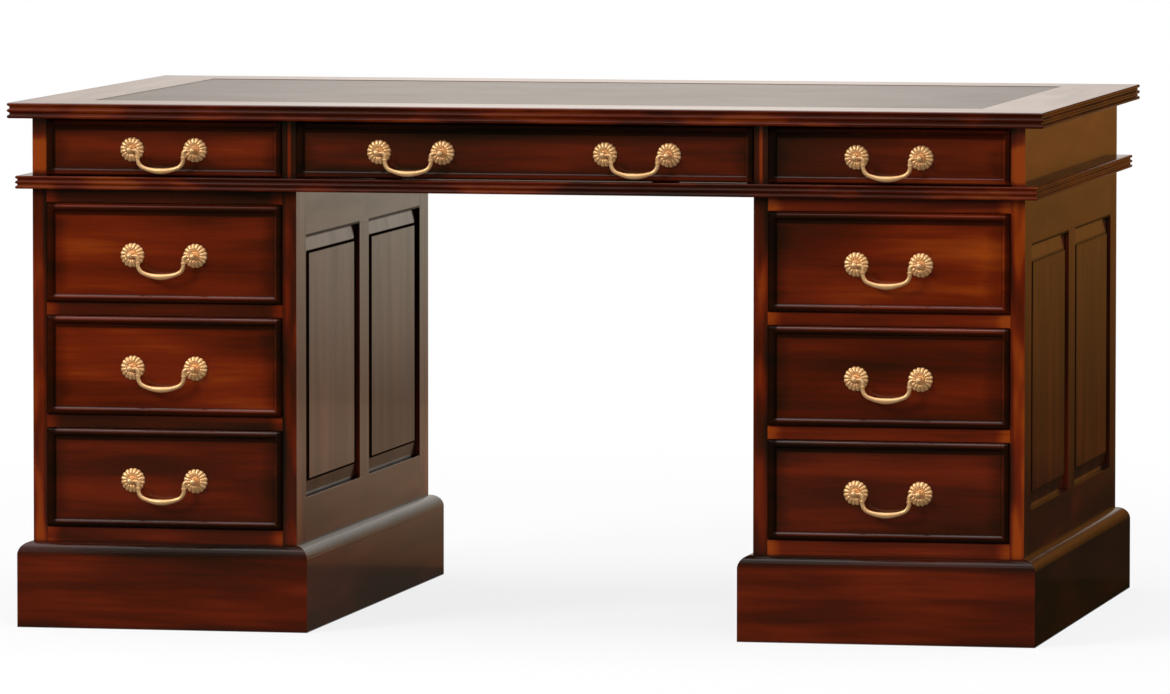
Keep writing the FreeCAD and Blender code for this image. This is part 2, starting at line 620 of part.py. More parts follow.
# ------------------------------------------------------------------- handles
def rosette():
    """Scalloped plate with a groove between each pair of petals, on z = 0, bored for the post's bolt."""
    valley = ROSETTE_R - ROSETTE_SCALLOP
    pitch = 2 * math.pi / ROSETTE_PETALS
    edges = []
    for petal in range(ROSETTE_PETALS):
        start, middle, end = [
            V(radius * math.cos(angle * pitch), radius * math.sin(angle * pitch), 0)
            for radius, angle in ((valley, petal), (ROSETTE_R, petal + 0.5), (valley, petal + 1))]
        edges.append(Part.Arc(start, middle, end).toShape())
    plate = Part.Face(Part.Wire(edges)).extrude(V(0, 0, ROSETTE_DOME))
    swell_r = (ROSETTE_R + ROSETTE_CROWN_R) / 2
    swell_z = (ROSETTE_RIM + ROSETTE_DOME) / 2 + ROSETTE_SWELL
    dome = [(0, 0), (ROSETTE_R, 0), (ROSETTE_R, ROSETTE_RIM),
            ((swell_r, swell_z), (ROSETTE_CROWN_R, ROSETTE_DOME)),
            ((ROSETTE_DISH_R, ROSETTE_DISH_Z), (POST_COLLAR_R, ROSETTE_DOME)), (0, ROSETTE_DOME)]
    plate = plate.common(turning(dome))
    above = PETAL_GROOVE_R - PETAL_GROOVE_DEPTH
    start = V(ROSETTE_CROWN_R, 0, ROSETTE_DOME + ROSETTE_SWELL + above)
    reach = V(ROSETTE_R, 0, ROSETTE_RIM + above) - start
    groove = Part.makeCylinder(PETAL_GROOVE_R, 2 * reach.Length, start, reach)
    tools = [turned(groove, math.degrees(petal * pitch)) for petal in range(ROSETTE_PETALS)]
    tools.append(Part.makeCylinder(BOLT_R + BOLT_PLAY, ROSETTE_DOME))
    return cut_all(plate, tools)


def post():
    """Turned post on its collar above the rosette, with the bolt that runs down through the drawer front."""
    collar_top = ROSETTE_DOME + POST_COLLAR_H
    neck_r = POST_R + POST_EASE
    ball_foot = PIVOT_OUT - math.sqrt(BALL_R ** 2 - POST_R ** 2)
    hollow = POST_EASE * math.sqrt(0.5)
    cove_middle = (neck_r - hollow, collar_top + POST_EASE - hollow)
    steps = [(0, BOLT_END), (BOLT_R, BOLT_END), (BOLT_R, ROSETTE_DOME), (POST_COLLAR_R, ROSETTE_DOME),
             (POST_COLLAR_R, collar_top), (neck_r, collar_top),
             (cove_middle, (POST_R, collar_top + POST_EASE)), (POST_R, ball_foot),
             ((BALL_R, PIVOT_OUT), (0, PIVOT_OUT + BALL_R))]
    return turning(steps)


def nut():
    """Flanged nut drawn up against the back of the drawer front."""
    reach = NUT_ACROSS / math.sqrt(3)
    angles = [number * math.pi / 3 for number in range(6)]
    corners = [V(reach * math.cos(angle), reach * math.sin(angle), 0) for angle in angles]
    body = Part.Face(Part.makePolygon(corners + corners[:1])).extrude(V(0, 0, NUT_T))
    flange = Part.makeCylinder(NUT_FLANGE_R, NUT_FLANGE_T, V(0, 0, NUT_T - NUT_FLANGE_T))
    piece = body.fuse(flange).cut(Part.makeCylinder(BOLT_R, NUT_T)).removeSplitter()
    return moved(piece, 0, 0, -FRONT_T - NUT_T)


def handle_fixings():
    """Rosettes, posts bored for the bail's pins, and nuts of a handle, facing -Y, rosettes on y = 0."""
    half = HANDLE_CENTRES / 2
    plate, turned_post, back_nut = [
        moved(turned(piece, 90, V(1, 0, 0)), half) for piece in (rosette(), post(), nut())]
    mouth = half - BALL_R
    hole_end = half - NECK_INSET + SHOULDER_BEND + PIN_L + PIN_END_PLAY
    hole = Part.makeCylinder(PIN_R + PIN_PLAY, hole_end - mouth, V(mouth, -PIVOT_OUT, 0), V(1, 0, 0))
    right = [plate, turned_post.cut(hole), back_nut]
    return right + [mirrored(piece) for piece in right]


def bend(section, centre, angle):
    """Round bar bent about a Y axis through a centre, from a disc at its start."""
    return section.revolve(centre, V(0, 1, 0), math.degrees(angle))


def disc(radius, centre, along):
    return Part.Face(Part.Wire(Part.makeCircle(radius, centre, along)))


def bail():
    """Swan-neck bail hanging in the XZ plane, pivot axis on X: pins, necks, elbows and a swelling grip."""
    neck_x = HANDLE_CENTRES / 2 - NECK_INSET
    sweep = math.asin((neck_x - ELBOW_BEND) / (GRIP_BEND - ELBOW_BEND))
    grip_z = GRIP_BEND - GRIP_DROP
    elbow_z = grip_z - (GRIP_BEND - ELBOW_BEND) * math.cos(sweep)
    shoulder = V(neck_x + SHOULDER_BEND, 0, 0)
    neck_low = V(neck_x, 0, elbow_z)
    arm = Part.makeCylinder(PIN_R, PIN_L, shoulder, V(1, 0, 0))
    arm = arm.fuse(bend(disc(BAIL_R, shoulder, V(1, 0, 0)), shoulder - V(0, 0, SHOULDER_BEND), -math.pi / 2))
    arm = arm.fuse(Part.makeCylinder(BAIL_R, -SHOULDER_BEND - elbow_z, neck_low))
    arm = arm.fuse(bend(disc(BAIL_R, neck_low, UP), neck_low - V(ELBOW_BEND, 0, 0), math.pi / 2 - sweep))
    collar = Part.makeCylinder(COLLAR_R, COLLAR_H, V(neck_x, 0, -COLLAR_DROP - COLLAR_H / 2))
    collar = collar.makeFillet(COLLAR_ROUND, [edge for edge in collar.Edges if len(edge.Vertexes) == 1])
    arm = arm.fuse(collar)
    rings = []
    for station in range(-GRIP_STATIONS, GRIP_STATIONS + 1):
        share = station / GRIP_STATIONS
        angle = share * sweep
        radius = BAIL_R + (GRIP_R - BAIL_R) * math.cos(share * math.pi / 2) ** 2
        place = V(GRIP_BEND * math.sin(angle), 0, grip_z - GRIP_BEND * math.cos(angle))
        rings.append(Part.Wire(Part.makeCircle(radius, place, V(math.cos(angle), 0, math.sin(angle)))))
    grip = Part.makeLoft(rings, True, False)
    return grip.fuse(arm).fuse(mirrored(arm)).removeSplitter()


def handled_drawer(name, open_w, open_h, length, handles, handle, x, floor, rear):
    """Drawer with a copy of the handle at each place in `handles`, the middle of its opening at x."""
    handle_z = open_h / 2 - HANDLE_DROP
    half = HANDLE_CENTRES / 2
    ends = [handle_x + side * half for suffix, handle_x in handles for side in (-1, 1)]
    bolt_holes = [Part.makeCylinder(BOLT_R + BOLT_PLAY, FRONT_T, V(end, -FIELD_PROUD, handle_z), V(0, 1, 0))
                  for end in ends]
    nodes = {name + "_drawer": drawer(open_w, open_h, length, bolt_holes), name + "_rosettes": []}
    for suffix, handle_x in handles:
        fixings, swinging = [[moved(piece, handle_x, -FIELD_PROUD, handle_z) for piece in group]
                             for group in handle]
        nodes[name + "_rosettes"] += fixings
        nodes[name + "_bail" + suffix] = swinging
    placed = {}
    for node, pieces in nodes.items():
        pieces = [moved(piece, 0, FRONT_Y, floor) for piece in pieces]
        if rear:
            pieces = [turned(piece, 180) for piece in pieces]
        placed[node] = [moved(piece, x) for piece in pieces]
    return placed


def drawers():
    """Every drawer of the desk: three in the frieze on each side and three in each pedestal."""
    nodes = {}
    handle = (handle_fixings(), [moved(bail(), 0, -PIVOT_OUT)])
    single = [("", 0.0)]
    pair = [("_left", -CENTRE_PAIR / 2), ("_right", CENTRE_PAIR / 2)]
    for face, rear in (("front", False), ("rear", True)):
        for place, width, x in (("left", BAY_W, -SIDE_BAY_X), ("centre", CENTRE_BAY_W, 0.0),
                                ("right", BAY_W, SIDE_BAY_X)):
            handles = pair if place == "centre" else single
            nodes.update(handled_drawer(face + "_frieze_" + place, width, FRIEZE_OPEN_H, FRIEZE_DRAWER_L,
                                        handles, handle, x, FRIEZE_FLOOR, rear))
    for side, outer in (("left", -1), ("right", 1)):
        for row, floor in zip(("top", "middle", "bottom"), row_floors()):
            nodes.update(handled_drawer(side + "_" + row, BAY_W, DRAWER_OPEN_H, PEDESTAL_DRAWER_L,
                                        single, handle, outer * PEDESTAL_X, floor, False))
    return nodes


# -------------------------------------------------------------------- dowels
def dowels():
    """Dowels that seat the top unit on the pedestals, and those that fix the desktop to the frieze boards."""
    rail_y = REAR_Y - RAIL_D / 2
    places = []
    for pedestal_x in (-PEDESTAL_X, PEDESTAL_X):
        for x in (pedestal_x - DOWEL_X, pedestal_x + DOWEL_X):
            places += [(x, -rail_y, CABINET_TOP), (x, rail_y, CABINET_TOP)]
    end_x = (CARCASE_W - SIDE_T) / 2
    divider_x = (CENTRE_BAY_W + DIVIDER_T) / 2
    for x in (-end_x, -divider_x, divider_x, end_x):
        places += [(x, -DOWEL_Y, TOP_UNDERSIDE), (x, DOWEL_Y, TOP_UNDERSIDE)]
    return [Part.makeCylinder(DOWEL_R, DOWEL_L, V(x, y, z - DOWEL_L / 2)) for x, y, z in places]


def build():
    """Every node of the desk, as lists of solids."""
    nodes = {}
    nodes.update(desktop())
    nodes.update(frieze())
    hinge_leaves = []
    for side, outer in (("left", -1), ("right", 1)):
        pedestal_nodes, leaves = pedestal(side, outer)
        nodes.update(pedestal_nodes)
        hinge_leaves += leaves
    pins = dowels()
    nodes = {name: [cut_all(piece, pins) for piece in pieces] for name, pieces in nodes.items()}
    nodes["dowels"] = pins
    nodes["cupboard_hinge_leaves"] = hinge_leaves
    nodes.update(waist_moulding())
    nodes.update(drawers())
    return nodes


os.makedirs("parts", exist_ok=True)
for node_name, solids in build().items():
    shape = solids[0] if len(solids) == 1 else Part.makeCompound(solids)
    shape.exportStep("parts/" + node_name + ".step")
print("desk height", DESK_H)
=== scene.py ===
import math

import bmesh
import bpy
from mathutils import Matrix, Vector


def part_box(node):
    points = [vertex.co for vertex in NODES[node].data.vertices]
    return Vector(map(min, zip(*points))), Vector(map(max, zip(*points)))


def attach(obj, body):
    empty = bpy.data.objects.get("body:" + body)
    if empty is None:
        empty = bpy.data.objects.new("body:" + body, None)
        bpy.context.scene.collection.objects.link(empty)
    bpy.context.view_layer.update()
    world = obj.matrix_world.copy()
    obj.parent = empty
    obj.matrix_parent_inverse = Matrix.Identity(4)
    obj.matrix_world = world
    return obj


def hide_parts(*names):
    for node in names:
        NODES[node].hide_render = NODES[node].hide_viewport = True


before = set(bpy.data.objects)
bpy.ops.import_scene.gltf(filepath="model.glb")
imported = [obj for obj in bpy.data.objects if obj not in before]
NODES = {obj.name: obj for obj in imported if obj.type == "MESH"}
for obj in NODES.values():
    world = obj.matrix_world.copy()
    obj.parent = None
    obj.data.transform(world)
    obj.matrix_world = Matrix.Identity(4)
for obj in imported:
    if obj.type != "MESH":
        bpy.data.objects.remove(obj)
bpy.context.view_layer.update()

MM = 0.001

# Linear colours of the polished mahogany, from its darkest, also the colour of the painted shade in its
# recesses, to its brightest on rubbed edges and painted highlights
BURNT = (0.0075, 0.0034, 0.0016)
DARK = (0.026, 0.0056, 0.0012)
MIDDLE = (0.070, 0.0068, 0.0004)
WARM = (0.150, 0.0130, 0.0003)
BRIGHT = (0.290, 0.0440, 0.0010)
# Drawer linings and runners, thinly stained
LINING_DARK = (0.110, 0.048, 0.020)
LINING_PALE = (0.235, 0.118, 0.055)

# Tone of each drawer front, and what its right end has more and its left end less
DRAWER_TONES = {"left_top": (0.05, -0.08), "left_middle": (0.07, -0.06), "left_bottom": (-0.04, -0.02),
                "right_top": (0.12, 0.20), "right_middle": (-0.02, 0.07), "right_bottom": (-0.04, 0.06),
                "front_frieze_left": (0.05, 0.0), "front_frieze_centre": (-0.08, 0.04),
                "front_frieze_right": (0.02, 0.20)}

EDGE_ROUND = 0.7 * MM        # eased arrises of the joinery
EASED_FROM = math.radians(40)
WELD_GAP = 0.01 * MM
CREASE = math.radians(50)    # from here on an edge of a mesh made here stays sharp

BEAD_W = 12 * MM             # moulded edge of a drawer front
BEAD_PROUD = 5 * MM          # past the field
FRONT_T = 20 * MM
DRAWER_SIDE_IN = 14.6 * MM   # inner face of a drawer's side from the end of its front
REEDS_D = 8 * MM             # strip of the desktop and the waist moulding that has the reeds
NO_BRIGHT_TOP = -1 * MM      # for reeds that are dulled up to their top
PANEL_BEVEL = 26 * MM        # of the raised panels, round their fields
PANEL_TONGUE = 7 * MM        # panel hidden in the frame's groove
SIDE_STILE_W = 64 * MM
SIDE_T = 22 * MM             # thickness of the pedestals' side frames
DIVIDER_X = 365 * MM         # middle of the frieze's dividers
PEDESTAL_X = 561 * MM        # middle of a pedestal
BAY_HALF = 185 * MM          # from there to the inside of its sides
KNEEHOLE_X = PEDESTAL_X - BAY_HALF - SIDE_T
BASE_RAIL_TOP = 155 * MM     # above it only the upper rails
RAILS_Y = 408 * MM           # inner edge of the front and rear rails
FACING_Y = 445 * MM          # inner edge of the facing strips on the frieze boards
DOOR_STILE_W = 60 * MM
DOOR_TOP_RAIL_H = 60 * MM
DOOR_BASE_RAIL_H = 70 * MM
TOOLED_LINES = (12 * MM, 15.5 * MM)    # from the edge of the leather

# Tests for where a point lies, as distances from the middle of the desk
OUTER_SIDE_X = 700 * MM      # beyond it only the pedestals' outer sides
EDGE_Y = 467 * MM            # beyond it only the front and rear edges of the carcase

# Handles; heights and ends are from the drawer's field
HANDLE_HALF = 49.25 * MM     # from the middle of the handle to a post
PIVOT_BELOW_TOP = 3.2 * MM   # pivot axis under the top of the bail
PIVOT_OUT = 21 * MM
ROSETTE_R = 18.9 * MM
PETALS = 16
HUB_R = 6.2 * MM
RING_R = HUB_R - 0.7 * MM    # middle of the round ring on the hub
RING_HALF = 1.1 * MM         # half the ring's thickness
RING_H = 5.0 * MM
COVE_W = 1.5 * MM            # cove from the ring to the stem
COVE_H = 5.0 * MM
COVE_FOOT = 5.4 * MM
STEM_R = 3.4 * MM
BALL_R = 5.15 * MM
BOLT_R = 2.4 * MM
BOLT_END = 25.4 * MM
NUT_END = 24 * MM
NUT_FLANGE_END = 21.2 * MM
NUT_FLANGE_R = 6.4 * MM
NUT_R = 4.6 * MM

# Room of the cards that the polish mirrors, in metres
ROOM_LEFT = -5.0
ROOM_REAR_LEFT = -6.0
ROOM_RIGHT = 14.0
ROOM_FRONT = -4.2
ROOM_REAR = 4.0
ROOM_H = 4.0
BROWN_WALL_X = 1.5
BROWN_WALL_FRONT = -0.6
BROWN_WALL_H = 7.0
BROWN_FLOOR_RIGHT = 9.0
FRONT_TO_REAR = 0.6          # where the floor cards of the front end and those of the rear begin
BROWN_FROM = 0.77            # the rear of the room is warm to the left of it and brown to the right
DARK_FROM = 0.79             # the floor before the desk is dim to the left of it and dark to the right
CARD_LIFT = 1 * MM           # floor cards above the floor
FLOOR_HALF = 60.0
Y_AXIS = 1
Z_AXIS = 2


# ------------------------------------------------------------------- node graphs
class Graph:
    """Short spellings for the nodes of one material or world."""

    def __init__(self, owner):
        owner.use_nodes = True
        self.tree = owner.node_tree
        self.tree.nodes.clear()

    def node(self, kind, inputs, **settings):
        made = self.tree.nodes.new("ShaderNode" + kind)
        for key, value in settings.items():
            setattr(made, key, value)
        for key, value in inputs.items():
            self.feed(made.inputs[key], value)
        return made

    def feed(self, socket, value):
        if isinstance(value, bpy.types.NodeSocket):
            self.tree.links.new(value, socket)
        elif socket.type == "RGBA":
            socket.default_value = (*value, 1)
        else:
            socket.default_value = value

    def place(self):
        """Object coordinates, as three sockets."""
        return self.split(self.node("TexCoord", {}).outputs["Object"])

    def split(self, vector):
        return self.node("SeparateXYZ", {0: vector}).outputs[:]

    def vector(self, x, y, z):
        return self.node("CombineXYZ", {0: x, 1: y, 2: z}).outputs[0]

    def stretch(self, grain, along, across):
        """Point for a pattern that is drawn out along the grain."""
        return self.vector(self.mul(grain[0], along), self.mul(grain[1], across), self.mul(grain[2], across))

    def math(self, operation, a, b=0.0, c=0.0):
        return self.node("Math", {0: a, 1: b, 2: c}, operation=operation).outputs[0]

    def add(self, a, b):
        return self.math("ADD", a, b)

    def sub(self, a, b):
        return self.math("SUBTRACT", a, b)

    def mul(self, a, b):
        return self.math("MULTIPLY", a, b)

    def more(self, a, b):
        """1 where a is more than b."""
        return self.math("GREATER_THAN", a, b)

    def least(self, values):
        result = values[0]
        for value in values[1:]:
            result = self.math("MINIMUM", result, value)
        return result

    def most(self, values):
        result = values[0]
        for value in values[1:]:
            result = self.math("MAXIMUM", result, value)
        return result

    def away(self, value, centre):
        """Distance of a coordinate from a centre."""
        return self.math("ABSOLUTE", self.sub(value, centre))

    def rise(self, value, low, high, start=0.0, end=1.0):
        """Smooth step from start at low to end at high."""
        inputs = {"Value": value, "From Min": low, "From Max": high, "To Min": start, "To Max": end}
        return self.node("MapRange", inputs, interpolation_type="SMOOTHSTEP").outputs[0]

    def blend(self, share, a, b):
        """Plain mix of two numbers."""
        return self.node("Mix", {0: share, 2: a, 3: b}, data_type="FLOAT").outputs[0]

    def mix(self, share, a, b):
        """Mix of two colours."""
        return self.node("Mix", {0: share, 6: a, 7: b}, data_type="RGBA").outputs[2]

    def noise(self, point, scale, detail=2.0, roughness=0.5):
        inputs = {"Vector": point, "Scale": scale, "Detail": detail, "Roughness": roughness}
        return self.node("TexNoise", inputs).outputs[0]

    def ramp(self, share, stops):
        made = self.node("ValToRGB", {0: share})
        points = made.color_ramp.elements
        while len(points) < len(stops):
            points.new(0.5)
        for point, (position, colour) in zip(points, stops):
            point.position = position
            point.color = (*colour, 1)
        return made.outputs[0]

    def cavity(self, reach):
        """1 in the open, falling to 0 where neighbours close in within reach."""
        return self.node("AmbientOcclusion", {"Distance": reach}, samples=6).outputs["AO"]

    def bump(self, height, depth, under=None):
        inputs = {"Height": height, "Distance": depth}
        if under:
            inputs["Normal"] = under
        return self.node("Bump", inputs).outputs[0]

    def output(self, shader):
        kind = "OutputWorld" if isinstance(self.tree.id_data, bpy.types.World) else "OutputMaterial"
        self.node(kind, {"Surface": shader})

    def principled(self, inputs):
        self.output(self.node("BsdfPrincipled", inputs).outputs[0])


# ------------------------------------------------------------------------- wood
def polished_wood(name, layout, tone=0.0, shade=None, glow=None, lining=None, recess_shade_and_polish=1.0):
    """Polished mahogany; tone shifts it from dark (-) to bright (+), and the last argument sets how dark its
    recesses are, with painted shade and old dark polish.

    layout(g, x, y, z) gives (along, across, through, board): the coordinates turned to the grain and
    a number that differs from board to board. shade(g, x, y, z, patch) darkens and dulls, 0 to 1,
    glow(g, x, y, z) adds to the tone, and lining(g, x, y, z) is 1 where the wood is the thinly
    stained secondary wood.
    """
    material = bpy.data.materials.new(name)
    g = Graph(material)
    x, y, z = g.place()
    along, across, through, board = layout(g, x, y, z)
    # Every board is cut from another place of the tree
    along = g.add(along, g.mul(board, 3.71))
    across = g.add(across, g.mul(board, 1.37))
    waver = g.noise(g.stretch((along, across, through), 2.2, 7.0), 1.0, 2.0)
    across = g.add(across, g.mul(g.sub(waver, 0.5), 0.024))
    grain = (along, across, through)
    figure = g.noise(g.stretch(grain, 3.0, 26.0), 1.0, 2.0, 0.45)
    streak = g.noise(g.stretch(grain, 7.0, 120.0), 1.0, 3.0, 0.6)
    pores = g.noise(g.stretch(grain, 45.0, 1100.0), 1.0, 1.0)
    patch = g.noise(g.stretch(grain, 4.0, 9.0), 1.0, 1.0)
    own = g.noise(g.vector(g.mul(board, 5.3), 0.0, 0.0), 1.0, 0.0)
    value = g.add(g.mul(g.sub(figure, 0.5), 0.62), g.mul(g.sub(streak, 0.5), 0.26))
    value = g.add(value, g.mul(g.sub(patch, 0.5), 0.40))
    value = g.add(value, g.mul(g.sub(own, 0.5), 0.20))
    value = g.add(value, 0.56 + tone)
    if glow:
        value = g.add(value, glow(g, x, y, z))
    pore_line = g.rise(pores, 0.60, 0.72)
    # Ambient occlusion paints shade, together with old dark polish, into the recesses
    recess = g.rise(g.cavity(12 * MM), 0.25, 0.95, 0.80 * recess_shade_and_polish, 0.0)
    gloss = g.rise(figure, 0.30, 0.70, 0.85, 1.10)
    if shade:
        drawn = shade(g, x, y, z, patch)
        recess = g.most([recess, drawn])
        gloss = g.mul(gloss, g.sub(1.0, drawn))
    value = g.math("MULTIPLY_ADD", recess, -0.30, value)
    colour = g.ramp(value, [(0.12, BURNT), (0.30, DARK), (0.50, MIDDLE), (0.68, WARM), (0.90, BRIGHT)])
    colour = g.mix(g.mul(recess, 0.60), colour, BURNT)
    colour = g.mix(g.mul(pore_line, 0.26), colour, BURNT)
    roughness = g.add(g.blend(patch, 0.15, 0.23), g.mul(pore_line, 0.06))
    if lining:
        inside = lining(g, x, y, z)
        stain = g.add(g.mul(figure, 0.6), g.mul(streak, 0.4))
        stain = g.ramp(stain, [(0.38, LINING_DARK), (0.62, LINING_PALE)])
        colour = g.mix(inside, colour, stain)
        roughness = g.blend(inside, roughness, 0.55)
    height = g.add(g.mul(streak, 0.5), g.mul(pore_line, -0.5))
    grain_normal = g.bump(height, 0.007 * MM)
    sag = g.noise(g.vector(x, y, z), 22.0, 1.0)
    normal = g.bump(sag, 0.06 * MM, grain_normal)
    g.principled({"Base Color": colour, "Roughness": roughness, "Normal": normal,
                  "Specular IOR Level": g.mul(gloss, 0.50), "Coat Weight": g.mul(gloss, 0.65),
                  "Coat Roughness": 0.05})
    return material


def along_x(g, x, y, z):
    return x, z, y, 0.0


def all_lining(g, x, y, z):
    """For pieces of secondary wood throughout."""
    return 1.0


def turn(g, share, first, second):
    """Layout `second` where share is 1, `first` elsewhere."""
    return [g.blend(share, a, b) for a, b in zip(first, second)]


def mitred(half_x, half_y, centre_x=0.0):
    """Layout of four mitred boards round a rectangle: the grain follows each board."""
    def layout(g, x, y, z):
        from_side = g.sub(half_x, g.away(x, centre_x))
        from_front = g.sub(half_y, g.away(y, 0.0))
        side = g.more(from_front, from_side)
        return turn(g, side, (x, z, y, g.math("SIGN", y)), (y, z, x, g.add(g.math("SIGN", x), 4.0)))
    return layout


def rails_and_runners(g, x, y, z):
    """Rails along the front and rear, runners from front to back."""
    runner = g.sub(1.0, g.more(g.away(y, 0.0), RAILS_Y))
    board = g.math("ROUND", g.mul(z, 11.0))
    return turn(g, runner, (x, z, y, board), (y, x, z, board))


def side_frame(g, x, y, z):
    """Upright stiles and muntin, level rails, on a frame in the YZ plane."""
    lo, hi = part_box("left_pedestal_side_panels")
    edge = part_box("left_pedestal_side_frames")[1].y
    in_rail = g.more(edge - SIDE_STILE_W, g.away(y, 0.0))
    past = g.most([g.more(lo.z + PANEL_TONGUE, z), g.more(z, hi.z - PANEL_TONGUE)])
    board = g.add(g.math("SIGN", y), g.mul(g.math("SIGN", x), 2.0))
    rail = g.add(board, g.math("ROUND", g.mul(z, 1.6)))
    return turn(g, g.mul(in_rail, past), (z, y, x, board), (y, z, x, rail))


def frame_glow(g, x, y, z):
    """Tone of the side frames: each front edge its own, with painted shadow beside the drawers, the faces
    darker.

    The faces towards the knees are brighter again with a painted sheen beside those edges and at the foot.
    """
    outside = g.more(g.away(x, 0.0), OUTER_SIDE_X)
    right = g.more(x, 0.0)
    flame = g.noise(g.vector(g.mul(x, 30.0), 0.0, g.mul(z, 7.0)), 1.0, 1.0)
    edges = g.blend(outside, g.blend(right, -0.13, -0.03), g.blend(right, 0.03, 0.15))
    edges = g.add(edges, g.rise(flame, 0.42, 0.62, -0.08, 0.22))
    past_bay = g.sub(g.away(g.away(x, 0.0), PEDESTAL_X), BAY_HALF)
    # Painted shadow of the drawer fronts on the front edges, next to the bays
    edges = g.add(edges, g.rise(past_bay, 1 * MM, 9 * MM, -0.16, 0.04))
    # Painted sheen on the faces towards the knees
    painted_sheen = g.add(g.rise(g.away(y, 0.0), 0.42, 0.45, -0.08, 0.14), g.rise(z, 0.14, 0.36, 0.12, 0.0))
    faces = g.blend(outside, painted_sheen, g.blend(right, -0.08, -0.05))
    on_edge = g.more(g.away(y, 0.0), EDGE_Y)
    return g.blend(on_edge, faces, edges)


def frame_shade(g, x, y, z, patch):
    """Painted shadow line on the frames over the head of each panel."""
    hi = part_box("left_pedestal_side_panels")[1]
    stile_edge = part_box("left_pedestal_side_frames")[1].y - SIDE_STILE_W
    in_panel = g.mul(g.more(stile_edge, g.away(y, 0.0)), g.more(g.away(y, 0.0), SIDE_STILE_W / 2))
    head = g.rise(g.away(z, hi.z - PANEL_TONGUE), 2.5 * MM, 4.5 * MM, 0.95, 0.0)
    return g.mul(in_panel, head)


def side_panel(g, x, y, z):
    return z, y, x, g.add(g.math("SIGN", y), g.mul(g.math("SIGN", x), 2.0))


def panel_painted_shade(g, x, y, z):
    """Painted shade darkens the panels on the outside of the right pedestal more than the rest, but for their
    feet.
    """
    return g.blend(g.more(x, OUTER_SIDE_X), -0.04, g.rise(z, 0.26, 0.40, 0.0, -0.08))


def raised_field(g, across, z, half, low, high):
    """Shade of a raised panel whose field lies up to half from its middle and from low to high.

    Dark lines of painted shade and dark wax run along the edge of the field and the rim of the panel, and the
    lower bevel is dull and darkened with painted shade and dust.
    """
    beside = g.sub(across, half)
    above = g.most([g.sub(low, z), g.sub(z, high)])
    past = g.most([beside, above])
    quirk = g.mul(g.rise(g.away(above, 1 * MM), 1.5 * MM, 3.5 * MM, 1.0, 0.0), g.more(2 * MM, beside))
    upright = g.mul(g.rise(g.away(beside, -1 * MM), 3 * MM, 6 * MM, 1.0, 0.0), g.more(2 * MM, above))
    rim = g.rise(past, PANEL_BEVEL - 5 * MM, PANEL_BEVEL - 2 * MM, 0.0, 0.95)
    foot = g.rise(g.sub(low, z), 0.0, 3 * MM, 0.0, 0.45)
    return g.most([quirk, upright, rim, foot])


def side_panel_shade(g, x, y, z, patch):
    """Lines of a raised panel, softer on the right outer side, and painted shade at the foot of one panel by
    the knees.
    """
    lo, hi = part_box("left_pedestal_side_panels")
    middle = (hi.y - PANEL_TONGUE + SIDE_STILE_W / 2) / 2
    inset = PANEL_TONGUE + PANEL_BEVEL
    across = g.away(g.away(y, 0.0), middle)
    field = raised_field(g, across, z, hi.y - inset - middle, lo.z + inset, hi.z - inset)
    # Painted shade at the foot of the far panel by the knees
    by_knees = g.mul(g.more(y, 0.0), g.more(50 * MM, g.away(x, -KNEEHOLE_X)))
    foot = g.mul(by_knees, g.rise(z, lo.z + 0.06, lo.z + 0.26, 0.52, 0.0))
    return g.most([g.mul(field, g.blend(g.more(x, OUTER_SIDE_X), 1.0, 0.65)), foot])


def reeds(node, bright_top, ends=(0.0, 0.0)):
    """Looks of a reeded edge: dulled below its bright top, with flames of brighter wood.

    bright_top is how high that top is, and ends is what is added to the tone at the middle of the
    desk and at its ends.
    """
    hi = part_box(node)[1]

    def on_edge(g, x, y, z):
        past = g.most([g.sub(g.away(x, 0.0), hi.x - REEDS_D), g.sub(g.away(y, 0.0), hi.y - REEDS_D)])
        return g.mul(g.more(past, 0.0), g.more(hi.z - bright_top, z))

    def shade(g, x, y, z, patch):
        return g.mul(on_edge(g, x, y, z), 0.62)

    def glow(g, x, y, z):
        flame = g.noise(g.vector(g.mul(x, 9.0), g.mul(y, 9.0), g.mul(z, 40.0)), 1.0, 2.0)
        tone_shift = g.add(g.rise(flame, 0.44, 0.66, 0.14, 0.40), g.rise(g.away(x, 0.0), 0.35, 0.75, *ends))
        return g.mul(on_edge(g, x, y, z), tone_shift)

    return {"shade": shade, "glow": glow}


def plinth_shade(g, x, y, z, patch):
    """Painted shade on the plinth's moulded top, which is darker and duller than its sides."""
    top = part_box("left_pedestal_plinth")[1].z
    return g.rise(z, top - 24 * MM, top - 10 * MM, 0.0, 0.70)


def plinth_glow(g, x, y, z):
    """The right plinth is a little brighter than the left one, but for its outer side, darkened with painted
    shade.
    """
    # Painted shade on the right plinth's outer side
    outer = g.mul(g.more(x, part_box("right_pedestal_plinth")[1].x - 1 * MM), -0.30)
    return g.add(outer, g.mul(g.math("SIGN", x), 0.02))


def fore_and_aft(g, x, y, z):
    """Boards from front to back with a facing strip of upright grain at each end."""
    facing = g.more(g.away(y, 0.0), FACING_Y)
    board = g.math("SIGN", x)
    return turn(g, facing, (y, z, x, board), (z, x, y, g.add(board, 7.0)))


